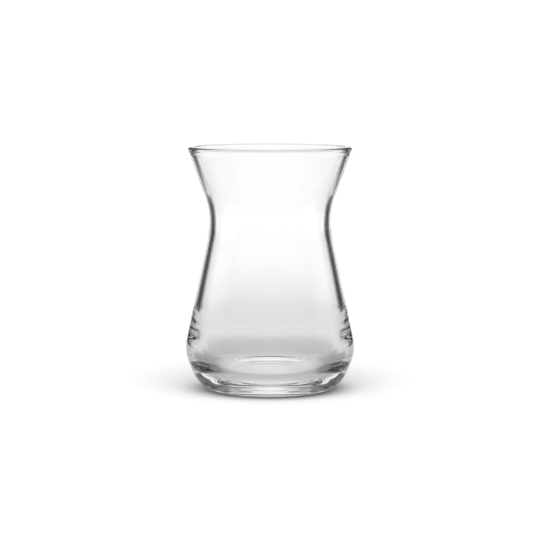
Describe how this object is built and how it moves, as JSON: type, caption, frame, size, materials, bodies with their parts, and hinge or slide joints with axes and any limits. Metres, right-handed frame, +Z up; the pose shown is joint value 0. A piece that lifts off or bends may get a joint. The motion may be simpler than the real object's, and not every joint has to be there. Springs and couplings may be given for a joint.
{
  "type": "turkish tea glass",
  "caption": "Clear waisted tea glass: flared mouth with a fire-polished lip bead, narrow waist, full belly and a thick solid base on a flat foot ring.",
  "frame": {"origin": "centre of the foot ring, on the plane the glass stands on", "axes": "+Z up along the glass's axis, from the foot to the lip; X and Y are free, because the glass is round"},
  "size_m": [0.0624, 0.0624, 0.09],
  "materials": {
    "clear_glass": "clear soda-lime glass, pressed and blown, fire-polished all over"
  },
  "bodies": {
    "root": {"tea_glass": "clear_glass"}
  },
  "joints": []
}
